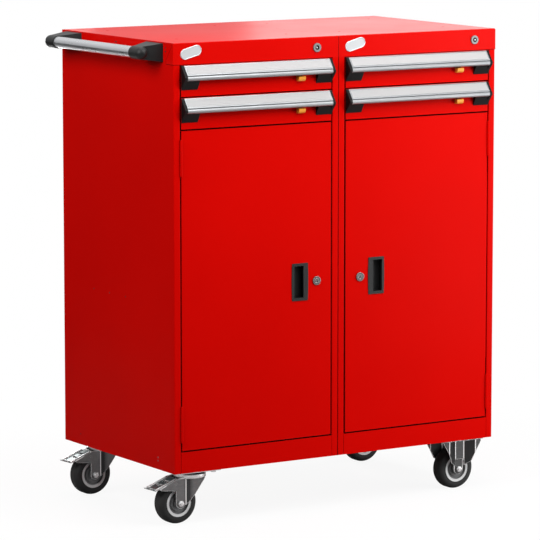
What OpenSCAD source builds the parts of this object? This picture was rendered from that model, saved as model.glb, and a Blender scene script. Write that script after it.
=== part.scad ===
// Mobile drawer cabinet: two sheet steel housings side by side on four casters.
// Each housing has two shallow drawers above one door, and a push handle sits on the left side.
// Millimetres. Z is up, the front faces -Y, and the origin is on the floor under the middle.

/* [Housings] */
// Width of one housing
housing_w = 457.2; // [400:0.1:600]
// Depth of the housings, front face to back face
body_d = 533.4; // [480:0.1:700]
// Height of the housings without the casters
body_h = 1016; // [900:0.5:1200]
// Thickness of the housing sheet
sheet = 1.5; // [1:0.1:1.8]
// Outer radius of the folded corners
bend_r = 2; // [2:0.1:4]
// Width of a corner post seen from the front
post_w = 17.5; // [15:0.5:24]
// Depth of a corner post
post_d = 38; // [34:1:60]
// Height of the rail above the drawers
rail_h = 50.8; // [44:0.1:80]
// Depth of the fold under the rail
rail_lip = 14; // [8:0.5:16]
// Length of the rail's corner flap along the outer side
rail_flap = 33; // [20:1:45]
// Height of the square foot of that flap, below its mitred edge
flap_foot = 10; // [5:1:25]
// Thickness of that flap
flap_t = 1.2; // [0.8:0.1:2]
// Height of the apron below the doors
apron_h = 50.8; // [40:0.1:80]
// Thickness of the base plate that carries the casters
base_t = 3; // [2:0.5:5]
// Gap round the doors and the drawer fronts
front_gap = 3; // [1.5:0.1:4]
// Height of the shelf's upper face above the underside of the housing
shelf_z = 404; // [200:1:420]
// Height of the folded edges of shelf and divider
shelf_edge = 20; // [12:1:30]
// Side to side spacing of the fixing holes in each top
top_hole_dx = 304.8; // [200:0.1:360]
// Front to back spacing of the fixing holes in each top
top_hole_dy = 330.2; // [200:0.1:420]
// Distance from the front face to the middle of that hole pattern
top_hole_mid = 279.4; // [250:0.1:300]
// Radius of the fixing holes in the tops
top_hole_r = 3.5; // [2.5:0.1:6]

/* [Drawers] */
// Height from one drawer to the next
drawer_pitch = 76.2; // [74:0.1:110]
// Depth of the hollow drawer front
front_d = 20; // [19:0.5:30]
// Thickness of the drawer and door sheet
panel_t = 1.2; // [0.8:0.1:1.5]
// Height of the drawer walls
wall_h = 56; // [40:0.5:58]
// Room behind a closed drawer
rear_room = 22; // [12:1:60]
// Room for the slide between post and drawer wall
slide_w = 13; // [10:0.5:20]
// Height of the slide channel
channel_h = 30; // [20:1:36]

/* [Drawer handles] */
// Reach of the aluminium lip from the drawer front
lip_reach = 20; // [18:0.5:26]
// Drop from the top of the drawer front to the bottom of the lip
lip_drop = 36; // [34:0.5:44]
// Wall of the aluminium profile
lip_wall = 2.2; // [1.5:0.1:3]
// Radius of the rounded lip
lip_r = 6; // [5:0.5:7]
// Width of the plate at the end of an end cap
cap_w = 7; // [4:0.5:12]
// How far the end caps stand out past the lip
cap_proud = 0.5; // [0:0.1:2]
// Height of the end caps
cap_h = 57.5; // [52:0.5:64]
// Length of the foot under each end of the lip
foot_l = 44; // [25:1:70]
// Reach of that foot from the drawer front
foot_reach = 13; // [8:0.5:15]
// Width of the latch tab
latch_w = 18.5; // [14:0.5:40]
// Distance of the latch from the right face of its housing
latch_edge = 110; // [95:1:200]
// Height of the latch tab
latch_h = 11.5; // [9:0.5:13]
// Lift of the latch
latch_lift = 5; // [3:0.5:6]

/* [Doors] */
// Thickness of a door
door_t = 20; // [19:0.5:26]
// Width of the fold round the back of a door
door_lip = 14; // [8:0.5:24]
// Length of a hinge
hinge_h = 84; // [60:1:140]
// Distance from the door's end to the middle of a hinge
hinge_inset = 66; // [55:1:150]
// Radius of the hinge knuckles
hinge_r = 2.8; // [2.4:0.1:4]
// Distance from the front face out to the hinge axis
hinge_out = 1.8; // [1.4:0.1:2.5]
// Radius of the hinge pins
pin_r = 1.2; // [1:0.1:1.5]
// Thickness of the hinge leaves in the gap beside a door
leaf_t = 1.2; // [0.8:0.1:1.2]
// Depth of those leaves behind the front face
leaf_d = 14; // [8:1:18]
// Width of a door pull's rim
pull_w = 46.5; // [40:0.5:60]
// Height of a door pull's rim
pull_h = 90; // [70:0.5:140]
// Distance from the pull's middle to the face of the housing at the door's free edge
pull_edge = 109.2; // [100:0.1:160]
// Bulge of the long sides of the pull's rim
pull_bulge = 1.2; // [0.6:0.1:2]
// Rim of the pull on its hinge side, top and bottom
pull_rim = 6.5; // [5:0.5:9]
// Rim of the pull on its free side, which the fingers hook behind
pull_grip = 13.5; // [10:0.5:18]
// Depth of the pull's pocket behind the door face
pull_depth = 16; // [12:0.5:17]
// Wall of the pull
pull_wall = 1.8; // [1.2:0.1:2.5]

/* [Locks] */
// Distance of every lock from the nearest housing face
lock_edge = 62.2; // [50:0.1:75]
// Radius of the lock's face ring
lock_r = 10.5; // [10:0.1:13]
// How far the face ring stands out
lock_proud = 3; // [2:0.1:4]
// Radius of the lock's barrel
barrel_r = 8.5; // [7.5:0.1:9.5]
// Radius of the lock's plug
plug_r = 5.5; // [4.5:0.1:6.5]
// Length of a rail lock behind the rail's face
rail_lock_l = 18; // [16:0.5:24]
// Length of the cam on a rail lock
rail_cam_l = 21; // [12:0.5:22]
// How far a door lock's cam passes into the post
cam_catch = 8; // [4:0.5:10]
// Width of the cams
cam_w = 12; // [8:0.5:14]
// Thickness of the cams
cam_t = 2.5; // [1.5:0.1:3]

/* [Name plates] */
// Length of a plain name plate
plate_w = 57.5; // [40:0.5:60]
// Height of a plain name plate
plate_h = 25; // [20:0.5:36]
// Thickness of a name plate
plate_t = 1; // [0.5:0.1:2]
// Tilt of a name plate, its right end up
plate_tilt = 15; // [0:1:20]
// Distance from the left face of the housing to the plate's middle
plate_edge = 47; // [40:0.5:80]
// Distance from the top down to the plate's middle
plate_drop = 22.5; // [20:0.5:30]

/* [Push handle] */
// Distance from the front face to the middle of the push handle
grip_mid = 279.4; // [265:0.1:285]
// Length over both brackets
grip_span = 464.4; // [300:0.1:470]
// Distance from the side of the housing to the tube's axis
grip_out = 50; // [40:0.5:80]
// Distance from the top down to the tube's axis
grip_drop = 24.5; // [24:0.5:60]
// Radius of the tube
grip_r = 13.5; // [10:0.1:14]
// Wall of the tube
grip_wall = 1.8; // [1:0.1:3]
// Wall of the bracket's sleeve round the tube
sleeve_wall = 2; // [1.5:0.1:3]
// Length of the sleeve
sleeve_l = 33.7; // [20:0.1:40]
// Length of a bracket where it meets the housing
bracket_l = 76; // [66:0.5:100]
// Height of a bracket where it meets the housing
bracket_h = 43.5; // [36:0.5:46]

/* [Casters] */
// Height of a caster from the floor to the housing
caster_h = 130; // [129:0.5:150]
// Distance from the side of the housing to a caster's middle
caster_side = 75.7; // [75:0.1:130]
// Distance from the front or back of the housing to a caster's middle
caster_end = 60.7; // [60:0.1:120]
// Distance from the swivel axis back to the axle
trail = 40; // [35:0.5:44]
// Radius of a wheel
wheel_r = 50.8; // [46:0.1:51.5]
// Width of a tyre
wheel_w = 38; // [30:0.5:40]
// Radius of the tyre's rounded shoulders
tread_r = 12; // [6:0.5:13]
// Radius of the hub, inside the tyre
hub_r = 33.5; // [28:0.5:36]
// Height of the raised ring on each face of the hub's web
ring_h = 2.5; // [1:0.1:4]
// Radius of the axle
axle_r = 4; // [3:0.1:5]
// Side to side size of a top plate
mount_l = 114.3; // [110:0.1:120]
// Front to back size of a top plate
mount_w = 101.6; // [95:0.1:110]
// Thickness of a top plate
mount_t = 4; // [3:0.5:5]
// Side to side spacing of the top plate's bolts
bolt_dx = 92.1; // [88:0.1:96]
// Front to back spacing of the top plate's bolts
bolt_dy = 66.7; // [64:0.1:76]
// Radius of the top plate's bolts
bolt_r = 4; // [3:0.5:4]
// Thickness of the fork sheet
fork_t = 3; // [2:0.1:3.5]
// Gap between tyre and fork on each side
fork_gap = 4; // [3:0.1:6]
// How far the front part of a swivel fork's cheek is set in
cheek_step = 2.5; // [1:0.1:2.5]
// Width of the column of a rigid fork's leg
leg_w = 27; // [24:1:32]
// How far that column stands out from the foot of the leg
leg_rib = 5; // [4:0.5:9]
// Width of the sloped sides of that column
leg_flare = 25.5; // [22:0.5:26]
// Width of the lips along the sides of that leg
leg_lip = 16; // [10:0.5:17]
// Depth of the broad upper part of that leg
leg_neck = 33; // [28:1:36]
// Radius of the foot of that leg, round the axle
leg_foot_r = 13; // [11:0.5:15]
// Radius of the foot of a swivel fork's cheek, round the axle
cheek_r = 12; // [10:0.5:13]
// Length of the skirt that trails behind that cheek
skirt_l = 45; // [40:1:48]
// Height of that skirt's lower edge over the axle
skirt_z = 31; // [26:1:34]
// Length of a brake pedal from its pivot to its tip
pedal_l = 68; // [60:1:72]
// Length of the tab at the pedal's tip
pedal_tray = 14; // [10:1:18]
// Height of the race under a top plate
race_h = 7; // [6:0.5:8]
// Depth of the swivel head
head_h = 7; // [6:0.5:8]
// Radius of the swivel head
head_r = 39; // [36:0.5:42]
// Radius of the kingpin
king_r = 6; // [4:0.5:8]

/* [Hidden] */
$fn = 64;

// Clearance of running shafts, of seams between fixed sheets, and of moving sheets
run_fit = 0.05;
seam = 0.2;
clear = 0.4;
// Overlap that lets cuts pass right through
cut = 1;

red = "#d40808";
black = "#262626";
zinc = "#b4b8b8";
aluminium = "#dcdee0";

// Place of the housings in the shared frame: the whole object is centred on the origin
sleeve_r = grip_r + sleeve_wall;
cap_reach = lip_reach + cap_proud;
body_x = (grip_out + sleeve_r - flap_t) / 2;
body_y = (cap_reach - body_d) / 2;

// Levels in a housing
rail_z = body_h - rail_h;
door_top = rail_z - 2 * drawer_pitch;
lock_z = (apron_h + door_top) / 2;
inner_y = body_d - sheet - seam;

// Drawer sizes
front_x = post_w + front_gap;
front_w = housing_w - 2 * front_x;
front_h = drawer_pitch - front_gap;
wall_x = post_w + slide_w;
wall_w = housing_w - 2 * wall_x;
wall_l = body_d - front_d - sheet - rear_room;
wall_z = 3;
channel_z = wall_z + (wall_h - channel_h) / 2;
runner_x = post_w + sheet + clear;
runner_h = channel_h - 2 * sheet - 2 * clear;
latch_x = housing_w - latch_edge;
latch_z = front_h - lip_drop - 3;
stem_w = latch_w / 2;
stem_h = latch_h / 2;

// Door sizes
door_h = door_top - apron_h - 1.5 * front_gap;
door_z = apron_h + front_gap;
hinge_x = post_w + front_gap / 2;
hinge_zs = [apron_h + hinge_inset, door_top - hinge_inset];
knuckle_h = hinge_h / 3;
pin_head = 1.5;
pin_head_r = (pin_r + hinge_r) / 2;
pull_x = housing_w - pull_edge;
lock_x = housing_w - lock_edge;
door_lock_l = door_t + 2;
door_cam_l = lock_edge - post_w + cam_catch;

// Caster levels above the floor
plate_z = caster_h - mount_t;
head_top = plate_z - race_h;
head_z = head_top - head_h;
fork_in = wheel_w / 2 + fork_gap;
fork_out = fork_in + fork_t;
bolt_head_r = bolt_r * 1.8;
leg_lip_y = bolt_dy / 2 + bolt_head_r + clear;
leg_lip_x = leg_w / 2 + leg_flare;
leg_in = fork_in + leg_rib;
leg_z = wheel_r + 2 * leg_foot_r;
pedal_x = -trail - cheek_r;
pedal_z = wheel_r * 2 - 3;
stub_out = fork_in + fork_t / 2;
caster_x = housing_w - caster_side;
caster_ys = [caster_end, body_d - caster_end];

// Moves a shape from a housing's own frame, with its corner at left, front and bottom
module housing(i, mirrored = false) {
    translate([body_x + (i - 1) * housing_w + (mirrored ? housing_w : 0), body_y, caster_h])
        mirror([mirrored ? 1 : 0, 0, 0])
            children();
}

// A housing's frame with its hinge side on the outer face of the cabinet
module handed(i) {
    housing(i, i == 1) children();
}

// A caster's own frame, on the floor under its middle: side is -1 for swivel and 1 for rigid
module caster(side, end) {
    translate([body_x + side * caster_x, body_y + caster_ys[end], 0])
        children();
}

// Extrudes a drawing of depth and height along the width
module across(width) {
    rotate([90, 0, 90])
        linear_extrude(width)
            children();
}

// Extrudes a drawing of width and height along the depth, from y0 to y1
module along(y0, y1) {
    translate([0, y1, 0])
        rotate([90, 0, 0])
            linear_extrude(y1 - y0)
                children();
}

// A round bar from y0 to y1
module bar_y(r, y0, y1) {
    translate([0, y0, 0])
        rotate([-90, 0, 0])
            cylinder(r = r, h = y1 - y0);
}

// Quarter of a bent sheet corner round the origin, turned by an angle
module fold(angle) {
    rotate(angle)
        intersection() {
            difference() {
                circle(r = bend_r);
                circle(r = bend_r - sheet);
            }
            square(bend_r);
        }
}

// Plan of a front corner post, from the outer wall to the end of its return
module post_plan() {
    translate([0, bend_r])
        square([sheet, post_d - bend_r]);
    translate([bend_r, bend_r])
        fold(180);
    translate([bend_r, 0])
        square([post_w - 2 * bend_r, sheet]);
    translate([post_w - bend_r, bend_r])
        fold(270);
    translate([post_w - sheet, bend_r])
        square([sheet, post_d - bend_r]);
}

// Cylinder on the hinge axis of a housing, from z0 to z1 of a hinge
module on_hinge(r, z0, z1) {
    for (z = hinge_zs)
        translate([hinge_x, -hinge_out, z + z0])
            cylinder(r = r, h = z1 - z0);
}

// Knuckle from z0 to z1 of a hinge, with its leaf between x0 and x1 of the housing
module knuckle(z0, z1, x0, x1) {
    on_hinge(hinge_r, z0, z1);
    for (z = hinge_zs)
        translate([x0, -hinge_out, z + z0])
            cube([x1 - x0, hinge_out + leaf_d, z1 - z0]);
}

// Side panel with a front and a rear post: the hinged one carries the frame knuckles
module side_panel(hinged) {
    color(red)
        difference() {
            union() {
                linear_extrude(rail_z - seam)
                    post_plan();
                linear_extrude(body_h - sheet)
                    translate([0, body_d - sheet])
                        mirror([0, 1])
                            post_plan();
                translate([0, bend_r + seam, 0])
                    cube([sheet, body_d - bend_r - seam, body_h - sheet]);
                if (hinged) {
                    knuckle(-hinge_h / 2, -knuckle_h / 2, post_w - sheet / 2, post_w + leaf_t);
                    knuckle(knuckle_h / 2, hinge_h / 2, post_w - sheet / 2, post_w + leaf_t);
                }
            }
            if (hinged) {
                on_hinge(hinge_r + clear, -knuckle_h / 2, knuckle_h / 2);
                on_hinge(pin_r + run_fit, -hinge_h, hinge_h);
            }
            else
                strike_slot();
        }
}

// Slot in the post for the door lock's cam, as tall as the arc that the cam's tip sweeps
module strike_slot() {
    rise = sqrt(pow(door_cam_l + cam_w / 2, 2) - pow(lock_edge - post_w, 2)) + cam_w / 2;
    translate([post_w - sheet - cut, door_lock_l - 1, lock_z - cam_w / 2 - 1])
        cube([sheet + 2 * cut, cam_t + 4, rise + cam_w / 2 + 2]);
}

// Flat panel that closes the back of a housing
module back_panel() {
    translate([sheet + seam, body_d - sheet, 0])
        cube([housing_w - 2 * (sheet + seam), sheet, body_h - sheet - seam]);
}

module back_panels() {
    color(red)
        for (i = [0, 1])
            housing(i) back_panel();
}

// Top sheet folded down into the front rail, with a mitred flap round the outer corner
module top_panel(i) {
    outer = i == 0 ? -flap_t : housing_w;
    color(red)
        difference() {
            union() {
                translate([i == 0 ? 0 : seam, 0, 0])
                    across(housing_w - seam) {
                        translate([bend_r, body_h - sheet])
                            square([body_d - bend_r, sheet]);
                        translate([bend_r, body_h - bend_r])
                            fold(90);
                        translate([0, rail_z])
                            square([sheet, rail_h - bend_r]);
                    }
                translate([sheet + seam, 0, rail_z])
                    cube([housing_w - 2 * (sheet + seam), rail_lip, sheet]);
                translate([outer, 0, 0])
                    across(flap_t)
                        polygon([
                            [0, rail_z], [rail_flap, rail_z], [rail_flap, rail_z + flap_foot],
                            [bend_r, body_h - bend_r], [0, body_h - bend_r]
                        ]);
            }
            top_holes();
            translate([lock_x, 0, body_h - rail_h / 2])
                bar_y(barrel_r + run_fit, -cut, sheet + cut);
        }
}

module top_holes() {
    for (x = [-1, 1], y = [-1, 1])
        translate([
            housing_w / 2 + x * top_hole_dx / 2, top_hole_mid + y * top_hole_dy / 2,
            body_h - sheet - cut
        ])
            cylinder(r = top_hole_r, h = sheet + 2 * cut);
}

// Plan of the space between the posts and walls of a housing
module base_plan() {
    notch = post_d + seam;
    difference() {
        translate([sheet + seam, 0])
            square([housing_w - 2 * (sheet + seam), inner_y]);
        for (x = [0, housing_w - post_w - seam], y = [0, inner_y - notch])
            translate([x, y])
                square([post_w + seam, notch + seam]);
    }
}

// Base with a floor, a front apron, a rear skirt and the plate for the casters
module base_pan(i) {
    middle = post_w + seam;
    color(red)
        difference() {
            union() {
                linear_extrude(base_t)
                    base_plan();
                translate([0, 0, apron_h - sheet])
                    linear_extrude(sheet)
                        base_plan();
                for (y = [0, inner_y - sheet])
                    translate([middle, y, 0])
                        cube([housing_w - 2 * middle, sheet, apron_h]);
            }
            for (y = caster_ys)
                translate([i == 0 ? caster_side : housing_w - caster_side, y, 0])
                    at_bolts()
                        translate([0, 0, -cut])
                            cylinder(r = bolt_r + clear, h = base_t + 2 * cut);
        }
}

// Sheet between the posts with all four edges folded down
module tray(y0, y1, top_z) {
    difference() {
        translate([post_w, y0, top_z - shelf_edge])
            cube([housing_w - 2 * post_w, y1 - y0, shelf_edge]);
        translate([post_w + sheet, y0 + sheet, top_z - shelf_edge - cut])
            cube([housing_w - 2 * (post_w + sheet), y1 - y0 - 2 * sheet, shelf_edge + cut - sheet]);
    }
}

// Divider that closes the drawer space off from the door space
module drawer_dividers() {
    color(red)
        for (i = [0, 1])
            housing(i) tray(door_t + 3, inner_y, door_top - front_gap);
}

module shelves() {
    color(red)
        for (i = [0, 1])
            housing(i) tray(door_lock_l + cam_t + 4, inner_y, shelf_z);
}

// Underside of a drawer front: j is 0 for the upper drawer and 1 for the lower one
function front_z(j) = rail_z - (j + 1) * drawer_pitch + front_gap / 2;

// Fixed slide channel, open towards the drawer
module slide_channel() {
    translate([post_w, front_d + 3, channel_z])
        difference() {
            cube([slide_w - clear, inner_y - front_d - 3, channel_h]);
            translate([sheet, -cut, sheet])
                cube([slide_w, body_d, channel_h - 2 * sheet]);
        }
}

module slide_channels() {
    color(zinc)
        for (i = [0, 1], mirrored = [false, true], j = [0, 1])
            housing(i, mirrored)
                translate([0, 0, front_z(j)])
                    slide_channel();
}

// Runner welded to a drawer wall, running inside the slide channel
module runner() {
    translate([runner_x, front_d + 4, channel_z + sheet + clear])
        difference() {
            cube([wall_x - runner_x + panel_t / 2, wall_l - 4, runner_h]);
            translate([sheet, -cut, sheet])
                cube([wall_x - runner_x - sheet, body_d, runner_h - 2 * sheet]);
        }
}

// Drawer: hollow front, box open at the top, and a runner on each side
module drawer(i, j) {
    color(red)
        housing(i)
            translate([0, 0, front_z(j)])
                difference() {
                    union() {
                        drawer_front();
                        drawer_box();
                        runner();
                        translate([housing_w, 0, 0])
                            mirror([1, 0, 0])
                                runner();
                    }
                    translate([latch_x - stem_w / 2 - clear, -cut, latch_z - latch_h / 2 - stem_h / 2 - clear])
                        cube([stem_w + 2 * clear, panel_t + 2 * cut, stem_h + latch_lift + 2 * clear]);
                }
}

module drawer_front() {
    difference() {
        translate([front_x, 0, 0])
            cube([front_w, front_d, front_h]);
        translate([front_x + panel_t, panel_t, panel_t])
            cube([front_w - 2 * panel_t, front_d, front_h - 2 * panel_t]);
    }
    translate([wall_x, front_d - panel_t, 0])
        cube([wall_w, panel_t, front_h]);
}

module drawer_box() {
    difference() {
        translate([wall_x, front_d - panel_t, wall_z])
            cube([wall_w, wall_l + panel_t, wall_h]);
        translate([wall_x + panel_t, front_d, wall_z + panel_t])
            cube([wall_w - 2 * panel_t, wall_l - panel_t, wall_h]);
    }
}

// Moves a drawing of reach and height to the top of a drawer front, from x0 over a width
module on_front(i, j, x0, width) {
    housing(i)
        translate([x0, 0, front_z(j) + front_h])
            mirror([0, 1, 0])
                across(width)
                    children();
}

// Places part of the handle's section between the end caps
module on_handle(i, j) {
    on_front(i, j, front_x + cap_w, front_w - 2 * cap_w) children();
}

// Aluminium handle: fixing leg, sloped face for labels, and rounded lip
module drawer_handle(i, j) {
    lip_z = lip_r - lip_drop;
    face_z = lip_z + lip_r + 1.4;
    leg_h = lip_drop / 2;
    color(aluminium) {
        on_handle(i, j)
            translate([0, -leg_h])
                square([lip_wall, leg_h - 1]);
        on_handle(i, j)
            polygon([
                [0, -1], [2.5, -1], [lip_reach - 1.5, face_z], [lip_reach - 1.5, face_z - 1],
                [lip_reach - lip_r + 1.5, face_z - 2.6], [0, -1.7 * lip_wall - 1]
            ]);
        on_handle(i, j)
            translate([lip_reach - lip_r, lip_z])
                intersection() {
                    difference() {
                        circle(r = lip_r);
                        circle(r = lip_r - lip_wall);
                    }
                    translate([0, -lip_r])
                        square([lip_r, 2 * lip_r]);
                }
    }
}

// Black end caps: a plate over each end of the handle and a foot under the lip
module end_caps(i, j) {
    tip_z = -lip_drop + lip_r;
    color(black)
        for (right = [0, 1]) {
            on_front(i, j, front_x + right * (front_w - cap_w), cap_w)
                polygon([
                    [0, -0.5], [1.5, -0.5], [cap_reach, tip_z + 2], [cap_reach, tip_z - 2],
                    [1.5, 3.5 - cap_h], [1.5, -cap_h], [0, -cap_h]
                ]);
            on_front(i, j, front_x + right * (front_w - foot_l), foot_l)
                polygon([[0, -lip_drop - 1], [foot_reach, -lip_drop - 1], [1, -cap_h], [0, -cap_h]]);
        }
}

// Latch tab under the lip, with a stem through the drawer front and a keeper behind it
module latch(i, j) {
    below = latch_z - front_h;
    middle = below - latch_h / 2;
    reach = foot_reach - 0.5;
    color("orange") {
        on_front(i, j, latch_x - latch_w / 2, latch_w)
            polygon([
                [clear, below], [reach * 0.92, below], [reach, below - latch_h * 0.12],
                [reach, below - latch_h * 0.4], [reach * 0.92, below - latch_h * 0.7],
                [reach * 0.72, below - latch_h * 0.94], [reach * 0.55, below - latch_h], [clear, below - latch_h]
            ]);
        on_front(i, j, latch_x - stem_w / 2, stem_w)
            translate([-panel_t - 2 * clear, middle - stem_h / 2])
                square([panel_t + 4 * clear, stem_h]);
        on_front(i, j, latch_x - stem_w, 2 * stem_w)
            translate([-panel_t - clear - 2, middle - latch_h / 2])
                square([2, latch_h]);
    }
}

// Places a drawing of width and height on a door's front, in the hinge-left frame
module door_plan(i, y0, y1) {
    handed(i)
        along(y0, y1)
            children();
}

// Door pan with folded edges, hinge knuckles, and cut-outs for the pull and the lock
module door(i) {
    color(red)
        handed(i)
            difference() {
                union() {
                    difference() {
                        door_pan();
                        on_hinge(hinge_r + clear, -hinge_h, clear - knuckle_h / 2);
                        on_hinge(hinge_r + clear, knuckle_h / 2 - clear, hinge_h);
                    }
                    knuckle(clear - knuckle_h / 2, knuckle_h / 2 - clear, front_x - leaf_t, front_x + panel_t / 2);
                }
                on_hinge(pin_r + run_fit, -hinge_h, hinge_h);
                translate([pull_x, 0, lock_z])
                    along(-cut, panel_t + cut)
                        square(pull_hole(), center = true);
                translate([lock_x, 0, lock_z])
                    bar_y(barrel_r + run_fit, -cut, panel_t + cut);
            }
}

module door_pan() {
    translate([front_x, 0, door_z])
        difference() {
            cube([front_w, door_t, door_h]);
            translate([panel_t, panel_t, panel_t])
                cube([front_w - 2 * panel_t, door_t - 2 * panel_t, door_h - 2 * panel_t]);
            translate([door_lip, panel_t, door_lip])
                cube([front_w - 2 * door_lip, door_t, door_h - 2 * door_lip]);
        }
}

module hinge_pins() {
    color(zinc)
        for (i = [0, 1])
            handed(i) {
                on_hinge(pin_r, -hinge_h / 2 - pin_head, hinge_h / 2 + pin_head);
                on_hinge(pin_head_r, -hinge_h / 2 - pin_head, -hinge_h / 2);
                on_hinge(pin_head_r, hinge_h / 2, hinge_h / 2 + pin_head);
            }
}

// Size of the hole in the door for the pull's cup
function pull_hole() = [pull_w - 2 * pull_wall - 3, pull_h - 2 * pull_wall - 3];

// Outline of the pull's rim, with gently bulging long sides
module pull_rim_plan() {
    half = pull_w / 2;
    bow_r = (pow(pull_h / 2, 2) + pow(pull_bulge, 2)) / (2 * pull_bulge);
    intersection() {
        translate([bow_r - half, 0])
            circle(r = bow_r, $fn = 512);
        translate([half - bow_r, 0])
            circle(r = bow_r, $fn = 512);
        square([pull_w, pull_h], center = true);
    }
}

// Recessed door pull: rim on the door face, and a cup whose pocket runs behind the wide rim
module door_pull(i) {
    rim_t = 1.6;
    hole = pull_hole();
    mouth = [pull_w - pull_rim - pull_grip, pull_h - 2 * pull_rim];
    cup = [hole[0] - 2 * clear, hole[1] - 2 * clear];
    color(black)
        handed(i)
            translate([pull_x, 0, lock_z])
                difference() {
                    union() {
                        along(-rim_t, 0)
                            pull_rim_plan();
                        along(0, pull_depth)
                            square(cup, center = true);
                    }
                    translate([pull_rim - pull_w / 2, 0, -mouth[1] / 2])
                        along(-rim_t - cut, pull_depth - pull_wall)
                            square(mouth);
                    along(pull_wall, pull_depth - pull_wall)
                        square([cup[0] - 2 * pull_wall, mouth[1]], center = true);
                }
}

// Lock case with its face ring, barrel and nut, round a bore for the plug
module lock_case(length, behind) {
    difference() {
        union() {
            bar_y(lock_r, -lock_proud, 0);
            bar_y(barrel_r, -lock_proud, length);
            bar_y(barrel_r + 3, behind, behind + 4);
        }
        bar_y(plug_r + run_fit, -lock_proud - cut, length + cut);
    }
}

// Lock plug with a keyway in its face and a cam behind the case, at an angle from upright
module lock_plug(length, cam_l, cam_angle, tubular) {
    key_w = plug_r * 0.35;
    difference() {
        bar_y(plug_r, -lock_proud, length + clear);
        if (tubular)
            difference() {
                bar_y(plug_r * 0.75, -lock_proud - cut, 2 - lock_proud);
                bar_y(plug_r * 0.35, -lock_proud - cut, 2 - lock_proud);
            }
        else
            translate([-key_w / 2, -lock_proud - cut, -plug_r * 0.7])
                cube([key_w, 2 + cut, plug_r * 1.4]);
    }
    along(length + clear, length + clear + cam_t)
        rotate(cam_angle) {
            circle(r = cam_w / 2 + 1);
            translate([-cam_w / 2, 0])
                square([cam_w, cam_l]);
        }
}

module rail_lock_cases() {
    color(zinc)
        for (i = [0, 1])
            housing(i)
                translate([lock_x, 0, body_h - rail_h / 2])
                    lock_case(rail_lock_l, sheet);
}

module rail_plug(i) {
    color(black)
        housing(i)
            translate([lock_x, 0, body_h - rail_h / 2])
                lock_plug(rail_lock_l, rail_cam_l, 90, true);
}

module door_lock_case(i) {
    color(zinc)
        handed(i)
            translate([lock_x, 0, lock_z])
                lock_case(door_lock_l, panel_t);
}

module door_plug(i) {
    color(zinc)
        handed(i)
            translate([lock_x, 0, lock_z])
                lock_plug(door_lock_l, door_cam_l, 0, false);
}

// Plain oval plates on the left of each rail
module name_plates() {
    color("white")
        for (i = [0, 1])
            housing(i)
                translate([plate_edge, 0, body_h - plate_drop])
                    along(-plate_t, 0)
                        rotate(plate_tilt) {
                            square([plate_w - plate_h, plate_h], center = true);
                            for (x = [-1, 1])
                                translate([x * (plate_w - plate_h) / 2, 0])
                                    circle(d = plate_h);
                        }
}

// Moves a shape to one end of the push handle, with its outer end at y = 0 and x pointing out
module grip_end(rear) {
    housing(0)
        translate([0, grip_mid, body_h - grip_drop])
            mirror([0, rear, 0])
                translate([0, -grip_span / 2, 0])
                    mirror([1, 0, 0])
                        children();
}

// Bracket that narrows from its foot on the side panel to a sleeve with a domed end
module grip_bracket() {
    difference() {
        union() {
            intersection() {
                translate([0, 0, -bracket_h])
                    linear_extrude(2 * bracket_h)
                        polygon([
                            [0, 0], [grip_out, sleeve_r * 0.75],
                            [grip_out, sleeve_r + sleeve_l], [0, bracket_l]
                        ]);
                along(-cut, bracket_l + cut)
                    polygon([
                        [0, -bracket_h / 2], [grip_out, 0.5 - sleeve_r],
                        [grip_out, sleeve_r - 0.5], [0, bracket_h / 2]
                    ]);
            }
            translate([grip_out, sleeve_r, 0])
                rotate([-90, 0, 0])
                    rotate_extrude() {
                        square([sleeve_r, sleeve_l]);
                        intersection() {
                            circle(r = sleeve_r);
                            translate([0, -sleeve_r])
                                square([sleeve_r, sleeve_r]);
                        }
                    }
        }
        translate([grip_out, 0, 0])
            bar_y(grip_r + run_fit, sleeve_r, bracket_l + grip_out);
    }
}

module push_handle_brackets() {
    color(black)
        for (rear = [0, 1])
            grip_end(rear) grip_bracket();
}

module push_handle_tube() {
    length = grip_span - 2 * (sleeve_r + clear);
    color(aluminium)
        grip_end(0)
            translate([grip_out, 0, 0])
                difference() {
                    bar_y(grip_r, sleeve_r + clear, sleeve_r + clear + length);
                    bar_y(grip_r - grip_wall, 0, grip_span);
                }
}

// Repeats a shape at the four bolts of a caster's top plate
module at_bolts() {
    for (x = [-1, 1], y = [-1, 1])
        translate([x * bolt_dx / 2, y * bolt_dy / 2, 0])
            children();
}

// Top plate of a caster with its bolt holes
module caster_plate() {
    difference() {
        translate([-mount_l / 2, -mount_w / 2, plate_z])
            cube([mount_l, mount_w, mount_t]);
        at_bolts()
            translate([0, 0, plate_z - cut])
                cylinder(r = bolt_r + clear, h = mount_t + 2 * cut);
    }
}

// Swivel plates with their upper race, kingpin and the kingpin's head
module swivel_plates() {
    race_r = head_r - 3.6;
    color(zinc)
        for (end = [0, 1])
            caster(-1, end) {
                caster_plate();
                translate([0, 0, head_top - 3])
                    cylinder(r = race_r, h = plate_z - head_top + 3 + clear);
                translate([0, 0, head_z - 4])
                    cylinder(r = king_r, h = plate_z - head_z + 4);
                translate([0, 0, head_z - 4])
                    cylinder(r = king_r + 5, h = 4 - clear);
            }
}

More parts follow.
